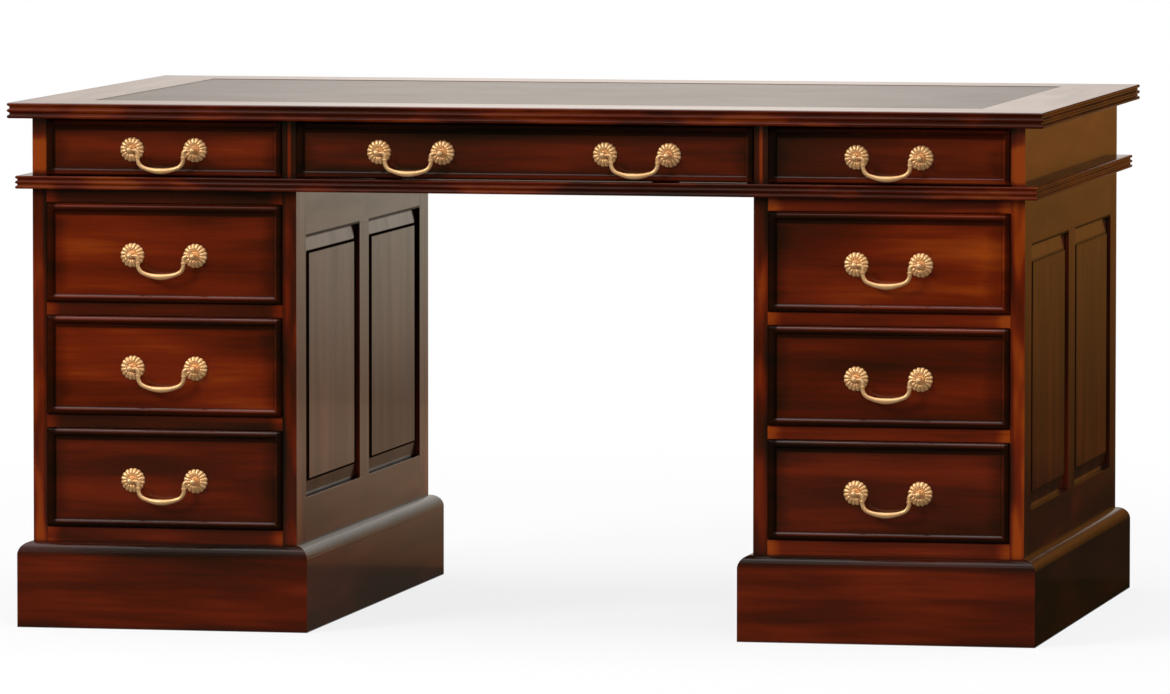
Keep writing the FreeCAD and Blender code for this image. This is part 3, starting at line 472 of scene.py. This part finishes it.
def frieze_glow(g, x, y, z):
    """Brighter half-way up the end boards' front edges, with painted shadow of the desktop above, and a thin
    painted highlight down each divider between bands of painted shade.
    """
    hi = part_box("frieze_boards")[1]
    outside = g.more(g.away(x, 0.0), OUTER_SIDE_X)
    on_edge = g.more(g.away(y, 0.0), EDGE_Y)
    # Brighter half-way up the front edges, darker above with painted shadow of the desktop's overhang, and
    # darker below
    tone_shift = g.rise(g.away(z, hi.z - 58 * MM), 14 * MM, 38 * MM, 0.46, -0.10)
    tone_shift = g.add(tone_shift, g.mul(g.more(x, 0.0), 0.08))
    # Painted highlight down the middle of each divider, with painted shade beside it
    strip = g.rise(g.away(g.away(x, 0.0), DIVIDER_X), 1 * MM, 4 * MM, 0.18, -0.22)
    return g.blend(outside, strip, g.blend(on_edge, 0.02, tone_shift))


def rail_glow(g, x, y, z):
    """Rails darker at the left, least so the lowest one, and a rubbed spot at each end of every rail."""
    from_middle = g.away(g.away(x, 0.0), PEDESTAL_X)
    spot = g.rise(from_middle, BAY_HALF - 26 * MM, BAY_HALF - 4 * MM, 0.0, 0.26)
    foot = g.mul(g.more(BASE_RAIL_TOP, z), 0.16)
    return g.add(spot, g.blend(g.more(x, 0.0), g.add(foot, -0.20), 0.04))


def drawer_looks(node):
    """Layout, tones, shade and lining of one drawer, worked out from its box."""
    lo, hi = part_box(node)
    face = 1.0 if hi.y > EDGE_Y else -1.0
    middle = (lo.x + hi.x) / 2
    half = (hi.x - lo.x) / 2
    inner = half - DRAWER_SIDE_IN
    lining_y = max(hi.y, -lo.y) - BEAD_PROUD - FRONT_T
    # Differs from drawer to drawer
    seed = (round(middle * 7) + round(lo.z * 13) + (3 if face > 0 else 0)) * 0.77
    tone, lean = DRAWER_TONES.get(node[:-len("_drawer")], (0.0, 0.0))
    in_frieze = "frieze" in node

    def lining(g, x, y, z):
        return g.sub(1.0, g.more(g.mul(y, face), lining_y + 0.1 * MM))

    def layout(g, x, y, z):
        side = g.mul(lining(g, x, y, z), g.more(g.away(x, middle), inner))
        return turn(g, side, (x, z, y, seed), (y, z, x, g.add(seed, g.math("SIGN", g.sub(x, middle)))))

    def glow(g, x, y, z):
        # Painted highlight on the lower bead of a frieze drawer
        foot = g.rise(g.sub(z, lo.z), 4 * MM, 9 * MM, 0.30 if in_frieze else 0.0, 0.0)
        return g.add(g.mul(g.sub(x, middle), lean / half), foot)

    def shade(g, x, y, z, patch):
        """Painted shade, dark and dull, along the bead, and darker, duller ends and rims of the field; near
        is the left end of the front.
        """
        near, far = (lo.x, hi.x) if face < 0 else (hi.x, lo.x)
        from_near = g.away(x, near)
        from_far = g.away(x, far)
        from_foot = g.sub(z, lo.z)
        from_head = g.sub(hi.z, z)
        from_end = g.least([from_near, from_far])
        from_rim = g.least([from_foot, from_head])
        waver = g.mul(g.sub(patch, 0.5), 0.03)
        # Painted shadow: all of the near bead, the inner side of the head bead, the outer halves of the foot
        # and far beads, thin lines inside the far and foot beads
        shadow = [g.rise(from_near, BEAD_W, BEAD_W + 5 * MM, 0.92, 0.0),
                  g.rise(g.away(from_head, BEAD_W), 4 * MM, 8 * MM, 0.88, 0.0),
                  g.rise(from_foot, 7 * MM, 9 * MM, 0.10 if in_frieze else 0.90, 0.0),
                  g.rise(from_far, 6 * MM, 8 * MM, 0.90, 0.0),
                  g.rise(g.away(from_far, BEAD_W), 0.5 * MM, 2.5 * MM, 0.5, 0.0),
                  g.rise(g.away(from_foot, BEAD_W), 0.5 * MM, 2.0 * MM, 0.5, 0.0)]
        ends = g.rise(g.add(from_end, waver), 12 * MM, 40 * MM, 0.32, 0.0)
        rims = g.rise(g.add(from_rim, waver), 12 * MM, 26 * MM, 0.22, 0.0)
        return g.most([*shadow, ends, rims, head(g, z)])

    def head(g, z):
        """Painted shadow of the desktop's overhang keeps the upper part of a frieze drawer dark."""
        depth = 0.42 if in_frieze else 0.0
        return g.rise(z, lo.z + 48 * MM, hi.z - 14 * MM, 0.0, depth)

    return {"layout": layout, "tone": tone, "glow": glow, "shade": shade, "lining": lining}


def door_looks(node):
    """Layout and shade of a cupboard door: stiles and panel upright, rails level."""
    lo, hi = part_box(node)
    middle = (lo.x + hi.x) / 2
    half = (hi.x - lo.x) / 2
    low = lo.z + DOOR_BASE_RAIL_H
    high = hi.z - DOOR_TOP_RAIL_H

    def layout(g, x, y, z):
        in_rail = g.more(half - DOOR_STILE_W, g.away(x, middle))
        past = g.most([g.more(low, z), g.more(z, high)])
        board = g.math("SIGN", g.sub(x, middle))
        return turn(g, g.mul(in_rail, past), (z, x, y, board), (x, z, y, g.add(z, 3.0)))

    def shade(g, x, y, z, patch):
        inner = half - DOOR_STILE_W - PANEL_BEVEL
        across = g.away(x, middle)
        drawn = raised_field(g, across, z, inner, low + PANEL_BEVEL, high - PANEL_BEVEL)
        in_panel = g.mul(g.more(inner + PANEL_BEVEL, across), g.mul(g.more(z, low), g.more(high, z)))
        return g.mul(drawn, in_panel)

    return {"layout": layout, "shade": shade}


# ------------------------------------------------------------ brass and leather
def lacquered_brass():
    """Cast brass, buffed bright on the crests and brown in the hollows."""
    material = bpy.data.materials.new("lacquered_brass")
    g = Graph(material)
    point = g.vector(*g.place())
    cloud = g.noise(point, 90.0, 2.0)
    grit = g.noise(point, 1400.0, 1.0)
    hollow = g.node("Attribute", {}, attribute_name="hollow").outputs["Fac"]
    colour = g.mix(cloud, (0.97, 0.51, 0.19), (1.00, 0.66, 0.34))
    colour = g.mix(hollow, colour, (0.66, 0.33, 0.12))
    roughness = g.add(g.blend(cloud, 0.30, 0.37), g.mul(hollow, 0.10))
    normal = g.bump(grit, 0.03 * MM)
    g.principled({"Base Color": colour, "Metallic": 0.61, "Roughness": roughness, "Normal": normal})
    return material


def writing_leather():
    """Dark brown hide with a pebbled grain and a blind-tooled double line near its edge."""
    material = bpy.data.materials.new("writing_leather")
    g = Graph(material)
    x, y, z = g.place()
    point = g.vector(x, y, z)
    lo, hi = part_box("leather_inset")
    cells = g.node("TexVoronoi", {"Vector": point, "Scale": 420.0}, feature="DISTANCE_TO_EDGE").outputs[0]
    pebble = g.rise(cells, 0.0, 0.30)
    cloud = g.noise(point, 7.0, 3.0)
    from_edge = g.least([g.sub(x, lo.x), g.sub(hi.x, x), g.sub(y, lo.y), g.sub(hi.y, y)])
    lines = [g.rise(g.away(from_edge, place), 0.5 * MM, 1.1 * MM, 1.0, 0.0) for place in TOOLED_LINES]
    tooled = g.most(lines)
    colour = g.mix(cloud, (0.020, 0.0115, 0.0070), (0.038, 0.021, 0.0125))
    colour = g.mix(g.mul(tooled, 0.7), colour, (0.008, 0.005, 0.004))
    height = g.sub(g.mul(pebble, 0.35), tooled)
    normal = g.bump(height, 0.10 * MM)
    roughness = g.blend(cloud, 0.19, 0.27)
    g.principled({"Base Color": colour, "Roughness": roughness, "Normal": normal, "Specular IOR Level": 0.50})
    return material


# -------------------------------------------------------------------- CAD nodes
def dress(node, material):
    """Gives a CAD node its finish."""
    materials = NODES[node].data.materials
    materials.clear()
    materials.append(material)


def ease_edges(node):
    """Rounds the arrises of a node made of flat boards."""
    piece = NODES[node]
    weld = piece.modifiers.new("weld", "WELD")
    weld.merge_threshold = WELD_GAP
    bevel = piece.modifiers.new("eased", "BEVEL")
    bevel.width = EDGE_ROUND
    bevel.segments = 2
    bevel.limit_method = "ANGLE"
    bevel.angle_limit = EASED_FROM
    bevel.harden_normals = True


def dress_carcase():
    """Finish of every fixed board."""
    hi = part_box("desktop_border")[1]
    dress("desktop_border", polished_wood("desktop_wood", mitred(hi.x, hi.y), tone=0.04, recess_shade_and_polish=0.2,
                                          **reeds("desktop_border", 3 * MM)))
    dress("desktop_core", polished_wood("core_wood", along_x, lining=all_lining))
    dress("dowels", polished_wood("dowel_wood", along_x, lining=all_lining))
    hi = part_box("waist_moulding")[1]
    dress("waist_moulding", polished_wood("waist_wood", mitred(hi.x, hi.y), tone=0.02, recess_shade_and_polish=0.2,
                                          **reeds("waist_moulding", NO_BRIGHT_TOP, (-0.10, 0.20))))
    frieze = polished_wood("frieze_board_wood", fore_and_aft, glow=frieze_glow)
    frames = polished_wood("side_frame_wood", side_frame, glow=frame_glow, shade=frame_shade)
    panels = polished_wood("side_panel_wood", side_panel, glow=panel_painted_shade, shade=side_panel_shade)
    rails = polished_wood("rail_wood", rails_and_runners, glow=rail_glow)
    boards = polished_wood("inner_board_wood", along_x)
    eased = [("frieze_boards", frieze), ("frieze_rails", rails)]
    for side in ("left", "right"):
        eased += [(side + "_pedestal_side_frames", frames), (side + "_pedestal_rails_and_runners", rails),
                  (side + "_pedestal_inner_boards", boards)]
        dress(side + "_pedestal_side_panels", panels)
        lo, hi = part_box(side + "_pedestal_plinth")
        middle = (lo.x + hi.x) / 2
        dress(side + "_pedestal_plinth",
              polished_wood(side + "_plinth_wood", mitred((hi.x - lo.x) / 2, hi.y, middle), tone=0.03,
                            glow=plinth_glow, shade=plinth_shade))
        door = side + "_cupboard_door"
        dress(door, polished_wood(door + "_wood", **door_looks(door)))
    for node, material in eased:
        dress(node, material)
        ease_edges(node)


# --------------------------------------------------------------------- rosettes
def petal_height(share, across):
    """Height of the petals at a share of the way from hub to rim, across from -1 to 1 over one petal."""
    crest = 3.6 + 1.2 * math.sin(math.pi * min(share * 1.3, 1.0))
    fall = math.sqrt(max(0.0, 1 - max(0.0, (share - 0.72) / 0.28) ** 2.4))
    groove = groove_depth(share) * abs(across) ** 2.2
    return max(crest * fall - groove, 0.0) * MM


def groove_depth(share):
    """Depth in millimetres of the grooves between the petals; they die out towards the hub."""
    return 0.20 + 1.2 * max(0.0, share - 0.15) ** 0.8


def petal_reach(across):
    """Outline radius over one petal: round lobes with narrow valleys."""
    return ROSETTE_R - 1.7 * MM * (1 - math.sqrt(1 - 0.98 * across ** 2))


def rosette_mesh(name):
    """Petalled rosette on z = 0 about the Z axis, its hub, stem and ball above, its bolt and nut below."""
    steps_round = 10
    rings_out = 14
    mesh = bmesh.new()
    hollow = mesh.verts.layers.float.new("hollow")
    rows = []
    for ring in range(rings_out + 1):
        row = []
        for step in range(PETALS * steps_round):
            across = 2 * (step % steps_round) / steps_round - 1
            angle = step * 2 * math.pi / (PETALS * steps_round)
            share = math.sin(ring / rings_out * math.pi / 2) ** 0.8
            radius = HUB_R + (petal_reach(across) - HUB_R) * share
            point = (radius * math.cos(angle), radius * math.sin(angle), petal_height(share, across))
            vertex = mesh.verts.new(point)
            vertex[hollow] = max(abs(across) ** 4 * min(1.0, 0.3 + share), 0.9 * (1 - share) ** 3)
            row.append(vertex)
        rows.append(row)
    bridge(mesh, rows)
    mesh.faces.new(rows[-1])
    flange = [(NUT_FLANGE_R, -FRONT_T), (NUT_FLANGE_R, -NUT_FLANGE_END), (0, -NUT_FLANGE_END)]
    revolve(mesh, hub_profile(), steps=28)
    revolve(mesh, [(BOLT_R, 0), (BOLT_R, -BOLT_END), (0, -BOLT_END)], steps=16)
    revolve(mesh, flange, steps=24)
    revolve(mesh, [(NUT_R, -NUT_FLANGE_END), (NUT_R, -NUT_END), (0, -NUT_END)], steps=6)
    return finished_mesh(mesh, name)


def hub_profile():
    """(radius, height) points of the hub ring, cove, stem and ball."""
    points = [(HUB_R + 0.6 * MM, 2.6 * MM)]
    for step in range(7):
        angle = math.pi * step / 6
        points.append((RING_R + RING_HALF * math.cos(angle), RING_H + RING_HALF * math.sin(angle)))
    for step in range(1, 6):
        angle = math.pi / 2 * step / 5
        points.append((STEM_R + COVE_W * (1 - math.sin(angle)), COVE_FOOT + COVE_H * (1 - math.cos(angle))))
    foot = math.acos(STEM_R / BALL_R)
    for step in range(13):
        angle = -foot + (math.pi / 2 + foot) * step / 12
        points.append((BALL_R * math.cos(angle), PIVOT_OUT + BALL_R * math.sin(angle)))
    return points


def revolve(mesh, profile, steps):
    """Turns a profile of (radius, height) points about Z; a radius of nearly nothing closes to a point."""
    rows = []
    for radius, height in profile:
        if radius < 0.01 * MM:
            tip = mesh.verts.new((0, 0, height))
            for step in range(steps):
                mesh.faces.new((rows[-1][step], rows[-1][(step + 1) % steps], tip))
            continue
        angles = [2 * math.pi * step / steps for step in range(steps)]
        rows.append([mesh.verts.new((radius * math.cos(a), radius * math.sin(a), height)) for a in angles])
    bridge(mesh, rows)


def bridge(mesh, rows):
    """Quads between closed rows of equal length."""
    for low, high in zip(rows, rows[1:]):
        for step in range(len(low)):
            after = (step + 1) % len(low)
            mesh.faces.new((low[step], low[after], high[after], high[step]))


def finished_mesh(mesh, name):
    """Mesh data with outward normals and smooth shading."""
    bmesh.ops.recalc_face_normals(mesh, faces=mesh.faces)
    for edge in mesh.edges:
        edge.smooth = len(edge.link_faces) == 2 and edge.calc_face_angle() < CREASE
    data = bpy.data.meshes.new(name)
    for face in mesh.faces:
        face.smooth = True
    mesh.to_mesh(data)
    mesh.free()
    return data


def make_rosettes(brass):
    """A petalled rosette at each end of every bail, on the drawer that carries it."""
    rosette = rosette_mesh("rosette")
    for node in sorted(NODES):
        if not node.endswith("_rosettes"):
            continue
        place = node[:-len("_rosettes")]
        joined = bmesh.new()
        for bail in sorted(n for n in NODES if n.startswith(place + "_bail")):
            lo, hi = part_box(bail)
            out = math.copysign(1.0, lo.y)
            turn_out = Matrix.Rotation(-out * math.pi / 2, 4, "X")
            for end in (-HANDLE_HALF, HANDLE_HALF):
                foot = Vector(((lo.x + hi.x) / 2 + end, (lo.y + hi.y) / 2 - out * PIVOT_OUT,
                               hi.z - PIVOT_BELOW_TOP))
                copy = rosette.copy()
                copy.transform(Matrix.Translation(foot) @ turn_out)
                joined.from_mesh(copy)
                bpy.data.meshes.remove(copy)
        piece = bpy.data.objects.new(place + "_petalled_rosettes", finished_mesh(joined, place + "_petals"))
        bpy.context.scene.collection.objects.link(piece)
        piece.data.materials.append(brass)
        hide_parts(node)
        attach(piece, place + "_drawer")


# ----------------------------------------------------------------------- studio
def not_diffuse(g):
    """1 for what the camera, a gloss or a glass sees; 0 for light that only lands on a surface."""
    path = g.node("LightPath", {}).outputs
    return g.most([path["Is Camera Ray"], path["Is Glossy Ray"], path["Is Transmission Ray"]])


def lying(x0, x1, y0, y1, z=CARD_LIFT):
    """Corners of a card that lies on the floor, or of the floor itself."""
    return [(x0, y0, z), (x1, y0, z), (x1, y1, z), (x0, y1, z)]


def plane(name, corners, material):
    mesh = bmesh.new()
    mesh.faces.new([mesh.verts.new(corner) for corner in corners])
    piece = bpy.data.objects.new(name, finished_mesh(mesh, name))
    bpy.context.scene.collection.objects.link(piece)
    piece.data.materials.append(material)
    return piece


def make_floor():
    """Pale paper round the desk, which runs out into plain white."""
    material = bpy.data.materials.new("pale_paper")
    g = Graph(material)
    x, y, z = g.place()
    distance = g.math("SQRT", g.add(g.mul(x, x), g.mul(y, y)))
    tooth = g.noise(g.vector(x, y, z), 220.0, 2.0)
    paper = g.mix(tooth, (0.87, 0.87, 0.87), (0.91, 0.91, 0.91))
    paper = g.mix(not_diffuse(g), (0.30, 0.29, 0.28), paper)
    near = g.node("BsdfDiffuse", {"Color": paper}).outputs[0]
    far = g.node("Emission", {"Color": (1, 1, 1), "Strength": 1.0}).outputs[0]
    fade = g.mul(g.rise(distance, 1.0, 3.5, 0.82, 1.0), not_diffuse(g))
    g.output(g.node("MixShader", {0: fade, 1: near, 2: far}).outputs[0])
    plane("floor", lying(-FLOOR_HALF, FLOOR_HALF, -FLOOR_HALF, FLOOR_HALF, 0), material)


def make_world():
    """White studio for the eye and the polish, an even half light on the surfaces."""
    world = bpy.data.worlds.new("studio")
    bpy.context.scene.world = world
    g = Graph(world)
    seen = g.mix(not_diffuse(g), (0.50, 0.50, 0.50), (1, 1, 1))
    g.output(g.node("Background", {"Color": seen, "Strength": 1.0}).outputs[0])


def glow_card(name, axis, reach, stops, pool=None):
    """Glow that changes along an axis of the room, the ramp's end at reach metres.

    pool is (x, radius, share): round x the glow is full, and it falls to the share at the radius.
    """
    material = bpy.data.materials.new(name)
    g = Graph(material)
    place = g.place()
    share = g.mul(place[axis], 1 / reach)
    strength = 1.0
    if pool:
        centre, radius, low = pool
        strength = g.rise(g.away(place[0], centre), 0.2 * radius, radius, 1.0, low)
    g.output(g.node("Emission", {"Color": g.ramp(share, stops), "Strength": strength}).outputs[0])
    return material


def across_room(y, x0, x1, height):
    """Corners of a card that stands from left to right."""
    return [(x0, y, 0), (x1, y, 0), (x1, y, height), (x0, y, height)]


def along_room(x, y0, y1, height):
    """Corners of a card that stands from front to rear."""
    return [(x, y0, 0), (x, y1, 0), (x, y1, height), (x, y0, height)]


def make_cards():
    """Cards that only the polish sees: dark before the fronts, brown at the right, warm behind the desk."""
    dark = glow_card("dark_card", Z_AXIS, 3.0, [
        (0.16, (0.016, 0.010, 0.004)), (0.18, (0.032, 0.064, 0.038)),
        (0.24, (0.032, 0.064, 0.038)), (0.30, (0.020, 0.013, 0.006))])
    brown = glow_card("brown_card", Z_AXIS, 2.0, [
        (0.0, (0.066, 0.028, 0.008)), (0.20, (0.17, 0.070, 0.016)),
        (0.36, (0.29, 0.115, 0.027)), (0.52, (0.040, 0.024, 0.012))])
    umber = glow_card("umber_floor", Y_AXIS, ROOM_REAR, [
        (0.55, (0.022, 0.013, 0.007)), (0.80, (0.066, 0.028, 0.008))])
    warm = glow_card("warm_card", Z_AXIS, 2.0, [
        (0.0, (0.37, 0.240, 0.157)), (0.22, (0.70, 0.60, 0.475)),
        (0.42, (0.94, 0.86, 0.78))], pool=(-0.75, 1.3, 0.70))
    dim = glow_card("dim_floor", Y_AXIS, ROOM_FRONT, [
        (0.0, (0.050, 0.040, 0.030)), (1.0, (0.066, 0.053, 0.040))])
    dusk = glow_card("dusk_card", Z_AXIS, ROOM_H, [
        (0.0, (0.06, 0.05, 0.04)), (0.8, (0.17, 0.15, 0.13))])
    boards = glow_card("warm_floor", Y_AXIS, ROOM_REAR, [
        (0.15, (0.10, 0.055, 0.030)), (0.72, (0.33, 0.215, 0.140))])
    cards = {"front_card": (dark, across_room(ROOM_FRONT, ROOM_LEFT, ROOM_RIGHT, ROOM_H)),
             "front_floor": (dim, lying(ROOM_LEFT, DARK_FROM, ROOM_FRONT, FRONT_TO_REAR)),
             "near_floor": (dark, lying(DARK_FROM, ROOM_RIGHT, ROOM_FRONT, FRONT_TO_REAR)),
             "left_wall": (dusk, along_room(ROOM_LEFT, ROOM_FRONT, ROOM_REAR, ROOM_H)),
             "right_floor": (umber, lying(BROWN_FROM, BROWN_FLOOR_RIGHT, FRONT_TO_REAR, ROOM_REAR)),
             "right_wall": (brown, along_room(BROWN_WALL_X, BROWN_WALL_FRONT, ROOM_REAR, BROWN_WALL_H)),
             "right_rear_wall": (brown, across_room(ROOM_REAR, BROWN_FROM, BROWN_WALL_X, BROWN_WALL_H)),
             "rear_floor": (boards, lying(ROOM_REAR_LEFT, BROWN_FROM, FRONT_TO_REAR, ROOM_REAR)),
             "rear_wall": (warm, across_room(ROOM_REAR, ROOM_REAR_LEFT, BROWN_FROM, ROOM_H))}
    for name, (material, corners) in cards.items():
        card = plane(name, corners, material)
        card.visible_camera = False
        card.visible_diffuse = False
        card.visible_shadow = False
        card.visible_transmission = False


def area_lamp(name, place, aim, width, height, power):
    lamp = bpy.data.lights.new(name, "AREA")
    lamp.shape = "RECTANGLE"
    lamp.size = width
    lamp.size_y = height
    lamp.energy = power
    holder = bpy.data.objects.new(name, lamp)
    holder.location = place
    holder.rotation_euler = (Vector(aim) - Vector(place)).to_track_quat("-Z", "Y").to_euler()
    bpy.context.scene.collection.objects.link(holder)


def make_camera():
    """Long lens from the front right, a little above the desktop, as fitted to the photograph."""
    camera = bpy.data.cameras.new("camera")
    camera.sensor_width = 36.0
    camera.lens = 304.4
    camera.clip_end = 200.0
    holder = bpy.data.objects.new("camera", camera)
    holder.location = (3.0691, -15.1142, 1.4988)
    holder.rotation_euler = (math.pi / 2 - 0.0706, -0.0005, 0.2004)
    bpy.context.scene.collection.objects.link(holder)
    bpy.context.scene.camera = holder


bpy.context.scene.view_settings.view_transform = "Standard"
dress_carcase()
for node in sorted(NODES):
    if node.endswith("_drawer"):
        dress(node, polished_wood(node + "_wood", **drawer_looks(node)))
brass = lacquered_brass()
for node in sorted(NODES):
    if "_bail" in node or node.endswith("_fittings") or node.endswith("hinge_leaves"):
        dress(node, brass)
make_rosettes(brass)
dress("leather_inset", writing_leather())
make_floor()
make_world()
make_cards()
area_lamp("key_softbox", (-5.0, -6.5, 4.8), (0, 0, 0.5), 2.6, 2.0, 390)
area_lamp("fill_softbox", (3.0, -9.0, 3.4), (0, 0, 0.5), 2.4, 2.4, 170)
area_lamp("top_softbox", (0.0, 0.0, 5.5), (0, 0, 0.0), 4.5, 4.5, 130)
make_camera()
